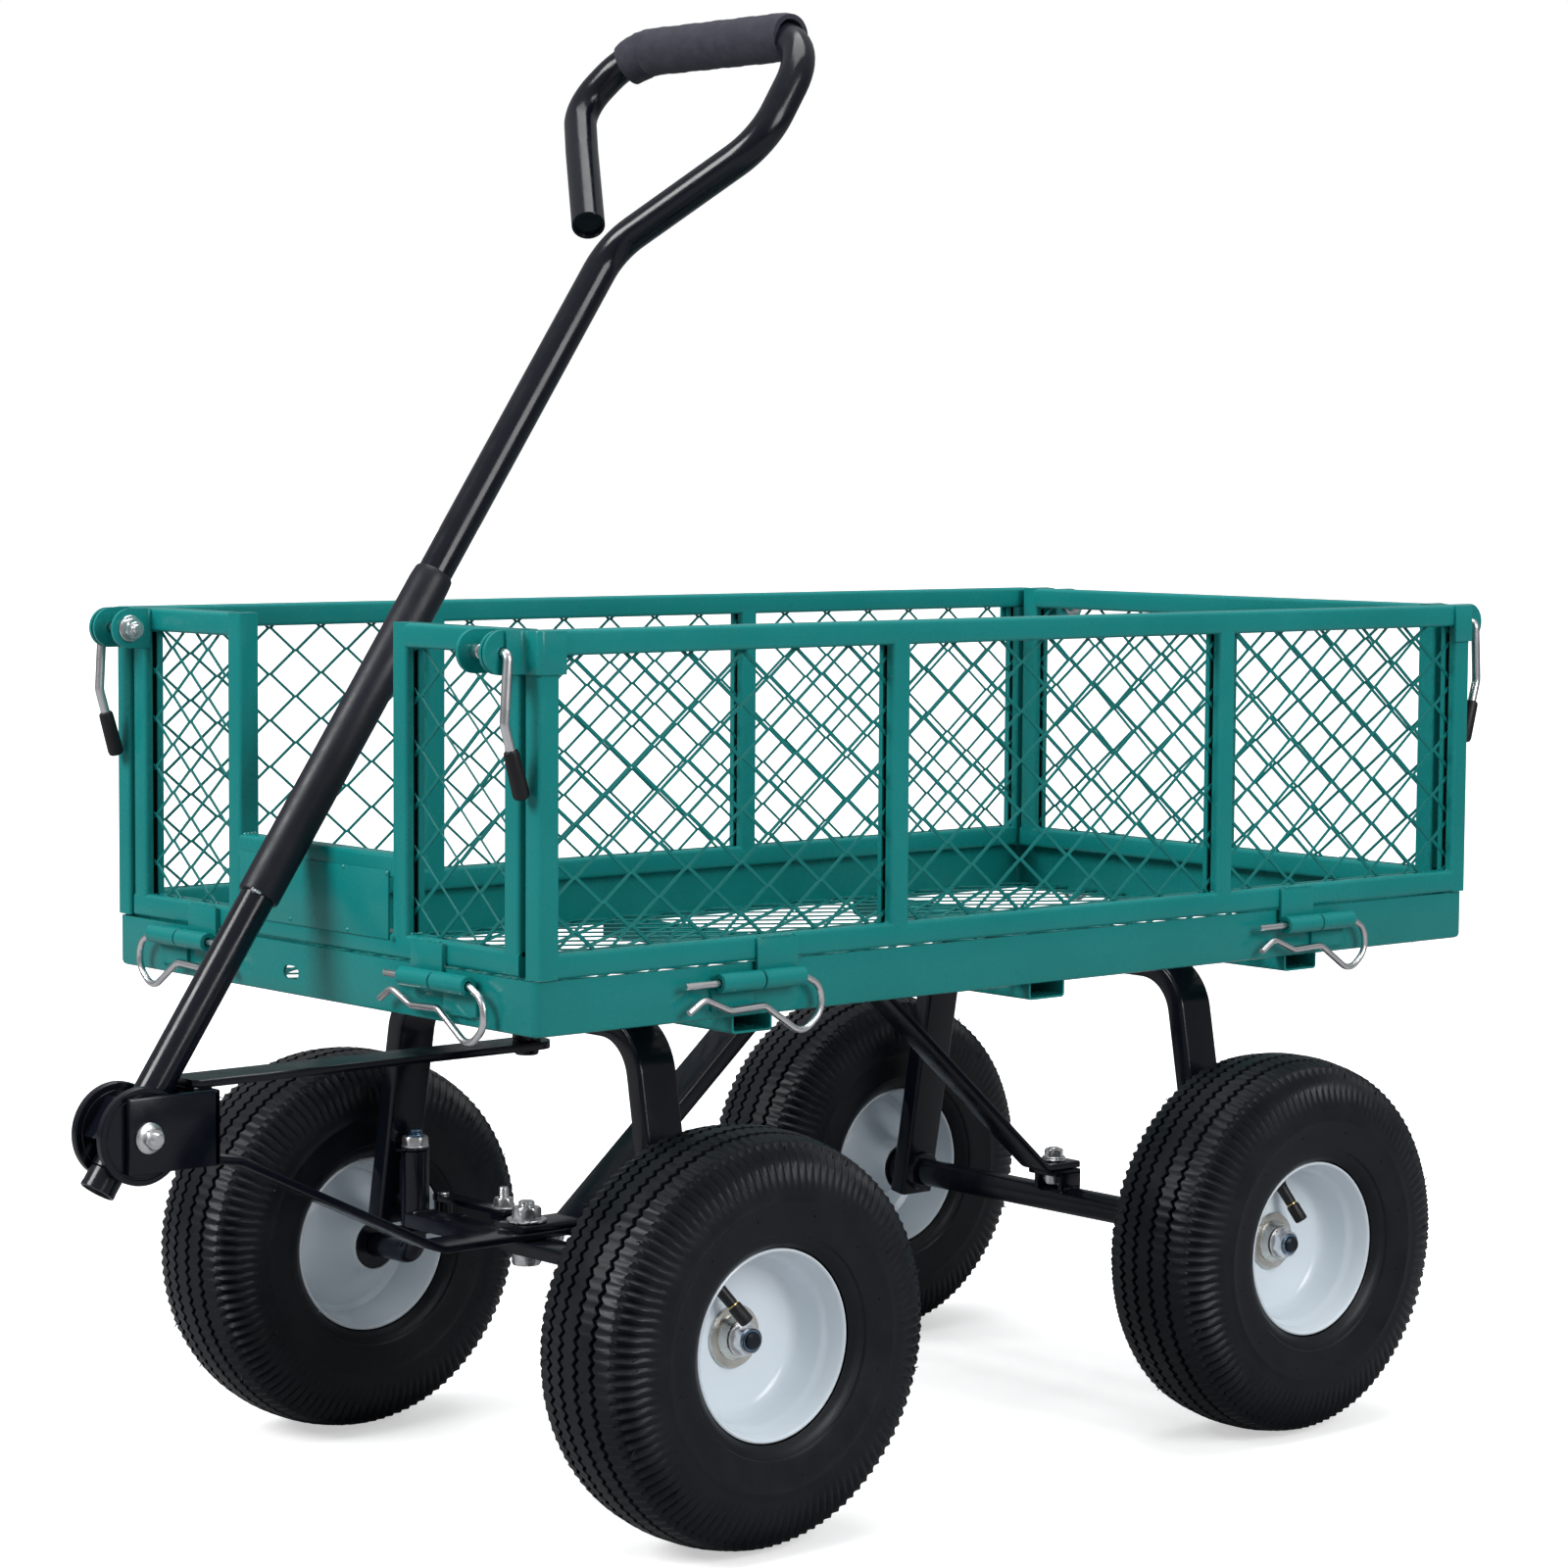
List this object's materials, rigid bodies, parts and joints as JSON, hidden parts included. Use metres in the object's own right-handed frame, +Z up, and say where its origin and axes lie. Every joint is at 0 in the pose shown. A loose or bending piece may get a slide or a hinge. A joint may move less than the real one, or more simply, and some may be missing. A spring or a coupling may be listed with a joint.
{
  "type": "garden cart",
  "caption": "Steel mesh garden cart with fold-down side panels on pneumatic wheels, steered by a tongue with a padded D-loop pull handle.",
  "frame": {"origin": "on the ground under the middle of the cart's bounding box", "axes": "+Z up, -Y the handle end, +X the cart's left-hand long side"},
  "size_m": [0.51, 1.019, 0.9524],
  "materials": {
    "green_paint": "gloss powder coat",
    "black_paint": "gloss powder coat",
    "zinc": "bright zinc plate",
    "tyre": "ribbed rubber",
    "rim_paint": "gloss pale paint",
    "foam": "matte foam sleeve",
    "valve_rubber": "matte"
  },
  "bodies": {
    "chassis": {"bed_tray": "green_paint", "bed_floor_mesh": "green_paint", "front_leg_frame": "black_paint", "rear_leg_frame": "black_paint", "rear_axle": "black_paint", "front_brace": "black_paint", "rear_brace": "black_paint", "rear_brace_bolt": "zinc", "king_bolt": "zinc", "upper_pivot_bolt": "zinc", "front_panel_frame": "green_paint", "front_panel_mesh_left": "green_paint", "front_panel_mesh_right": "green_paint", "axle_nut_rear_left": "zinc", "axle_nut_rear_right": "zinc"},
    "tongue": {"tongue": "black_paint", "handle_pivot_bolt": "zinc"},
    "handle": {"handle_lower_tube": "black_paint", "handle_upper_tube": "black_paint", "handle_grip": "foam", "handle_cheeks": "black_paint"},
    "knuckle_left": {"steering_knuckle_left": "black_paint", "axle_nut_front_left": "zinc"},
    "tie_rod_left": {"tie_rod_left": "black_paint"},
    "side_panel_left": {"side_panel_left_frame": "green_paint", "side_panel_left_mesh": "green_paint"},
    "wheel_front_left": {"tyre_front_left": "tyre", "rim_front_left": "rim_paint", "valve_front_left": "valve_rubber"},
    "latch_front_left": {"latch_lever_front_left": "zinc"},
    "side_clip_left_front": {"side_clip_left_front": "zinc"},
    "front_clip_left": {"front_clip_left": "zinc"},
    "wheel_rear_left": {"tyre_rear_left": "tyre", "rim_rear_left": "rim_paint", "valve_rear_left": "valve_rubber"},
    "latch_rear_left": {"latch_lever_rear_left": "zinc"},
    "side_clip_left_rear": {"side_clip_left_rear": "zinc"},
    "rear_clip_left": {"rear_clip_left": "zinc"},
    "knuckle_right": {"steering_knuckle_right": "black_paint", "axle_nut_front_right": "zinc"},
    "tie_rod_right": {"tie_rod_right": "black_paint"},
    "side_panel_right": {"side_panel_right_frame": "green_paint", "side_panel_right_mesh": "green_paint"},
    "wheel_front_right": {"tyre_front_right": "tyre", "rim_front_right": "rim_paint", "valve_front_right": "valve_rubber"},
    "latch_front_right": {"latch_lever_front_right": "zinc"},
    "side_clip_right_front": {"side_clip_right_front": "zinc"},
    "front_clip_right": {"front_clip_right": "zinc"},
    "wheel_rear_right": {"tyre_rear_right": "tyre", "rim_rear_right": "rim_paint", "valve_rear_right": "valve_rubber"},
    "latch_rear_right": {"latch_lever_rear_right": "zinc"},
    "side_clip_right_rear": {"side_clip_right_rear": "zinc"},
    "rear_clip_right": {"rear_clip_right": "zinc"},
    "rear_panel": {"rear_panel_frame": "green_paint", "rear_panel_mesh": "green_paint"}
  },
  "joints": [
    {"name": "steering_yaw", "type": "hinge", "parent": "chassis", "child": "tongue", "pos_m": [0, -0.17926, 0.163], "axis": [0, 0, 1], "range_deg": [-13, 13]},
    {"name": "handle_pitch", "type": "hinge", "parent": "tongue", "child": "handle", "pos_m": [0, -0.47826, 0.259], "axis": [1, 0, 0], "range_deg": [0, 122]},
    {"name": "kingpin_left", "type": "hinge", "parent": "chassis", "child": "knuckle_left", "pos_m": [0.123, -0.17926, 0.163], "axis": [0, 0, 1], "range_deg": [-13, 13]},
    {"name": "tie_rod_pivot_left", "type": "hinge", "parent": "tongue", "child": "tie_rod_left", "pos_m": [0.02, -0.14126, 0.158], "axis": [0, 0, 1], "range_deg": [-13, 13]},
    {"name": "wheel_spin_front_left", "type": "hinge", "parent": "knuckle_left", "child": "wheel_front_left", "pos_m": [0.209, -0.17926, 0.13], "axis": [1, 0, 0], "continuous": true},
    {"name": "wheel_spin_rear_left", "type": "hinge", "parent": "chassis", "child": "wheel_rear_left", "pos_m": [0.209, 0.30574, 0.13], "axis": [1, 0, 0], "continuous": true},
    {"name": "side_panel_fold_left", "type": "hinge", "parent": "chassis", "child": "side_panel_left", "pos_m": [0.234, 0.06824, 0.352], "axis": [0, 1, 0], "range_deg": [0, 160]},
    {"name": "latch_swing_front_left", "type": "hinge", "parent": "side_panel_left", "child": "latch_front_left", "pos_m": [0.212, -0.36026, 0.552], "axis": [-1, 0, 0], "range_deg": [0, 170]},
    {"name": "latch_swing_rear_left", "type": "hinge", "parent": "side_panel_left", "child": "latch_rear_left", "pos_m": [0.212, 0.49674, 0.552], "axis": [1, 0, 0], "range_deg": [0, 170]},
    {"name": "side_clip_pull_left_front", "type": "slide", "parent": "chassis", "child": "side_clip_left_front", "axis": [0, 1, 0], "range_m": [0, 0.1]},
    {"name": "side_clip_pull_left_rear", "type": "slide", "parent": "chassis", "child": "side_clip_left_rear", "axis": [0, 1, 0], "range_m": [0, 0.1]},
    {"name": "front_clip_pull_left", "type": "slide", "parent": "chassis", "child": "front_clip_left", "axis": [1, 0, 0], "range_m": [0, 0.1]},
    {"name": "rear_clip_pull_left", "type": "slide", "parent": "chassis", "child": "rear_clip_left", "axis": [1, 0, 0], "range_m": [0, 0.1]},
    {"name": "kingpin_right", "type": "hinge", "parent": "chassis", "child": "knuckle_right", "pos_m": [-0.123, -0.17926, 0.163], "axis": [0, 0, 1], "range_deg": [-13, 13]},
    {"name": "tie_rod_pivot_right", "type": "hinge", "parent": "tongue", "child": "tie_rod_right", "pos_m": [-0.02, -0.14126, 0.158], "axis": [0, 0, 1], "range_deg": [-13, 13]},
    {"name": "wheel_spin_front_right", "type": "hinge", "parent": "knuckle_right", "child": "wheel_front_right", "pos_m": [-0.209, -0.17926, 0.13], "axis": [1, 0, 0], "continuous": true},
    {"name": "wheel_spin_rear_right", "type": "hinge", "parent": "chassis", "child": "wheel_rear_right", "pos_m": [-0.209, 0.30574, 0.13], "axis": [1, 0, 0], "continuous": true},
    {"name": "side_panel_fold_right", "type": "hinge", "parent": "chassis", "child": "side_panel_right", "pos_m": [-0.234, 0.06824, 0.352], "axis": [0, -1, 0], "range_deg": [0, 160]},
    {"name": "latch_swing_front_right", "type": "hinge", "parent": "side_panel_right", "child": "latch_front_right", "pos_m": [-0.212, -0.36026, 0.552], "axis": [-1, 0, 0], "range_deg": [0, 170]},
    {"name": "latch_swing_rear_right", "type": "hinge", "parent": "side_panel_right", "child": "latch_rear_right", "pos_m": [-0.212, 0.49674, 0.552], "axis": [1, 0, 0], "range_deg": [0, 170]},
    {"name": "side_clip_pull_right_front", "type": "slide", "parent": "chassis", "child": "side_clip_right_front", "axis": [0, 1, 0], "range_m": [0, 0.1]},
    {"name": "side_clip_pull_right_rear", "type": "slide", "parent": "chassis", "child": "side_clip_right_rear", "axis": [0, 1, 0], "range_m": [0, 0.1]},
    {"name": "front_clip_pull_right", "type": "slide", "parent": "chassis", "child": "front_clip_right", "axis": [-1, 0, 0], "range_m": [0, 0.1]},
    {"name": "rear_clip_pull_right", "type": "slide", "parent": "chassis", "child": "rear_clip_right", "axis": [-1, 0, 0], "range_m": [0, 0.1]},
    {"name": "rear_panel_fold", "type": "hinge", "parent": "chassis", "child": "rear_panel", "pos_m": [0, 0.48974, 0.355], "axis": [-1, 0, 0], "range_deg": [0, 165]}
  ],
  "couplings": [
    {"joint": "kingpin_left", "follows": "steering_yaw", "ratio": 1},
    {"joint": "tie_rod_pivot_left", "follows": "steering_yaw", "ratio": -1},
    {"joint": "kingpin_right", "follows": "steering_yaw", "ratio": 1},
    {"joint": "tie_rod_pivot_right", "follows": "steering_yaw", "ratio": -1}
  ]
}
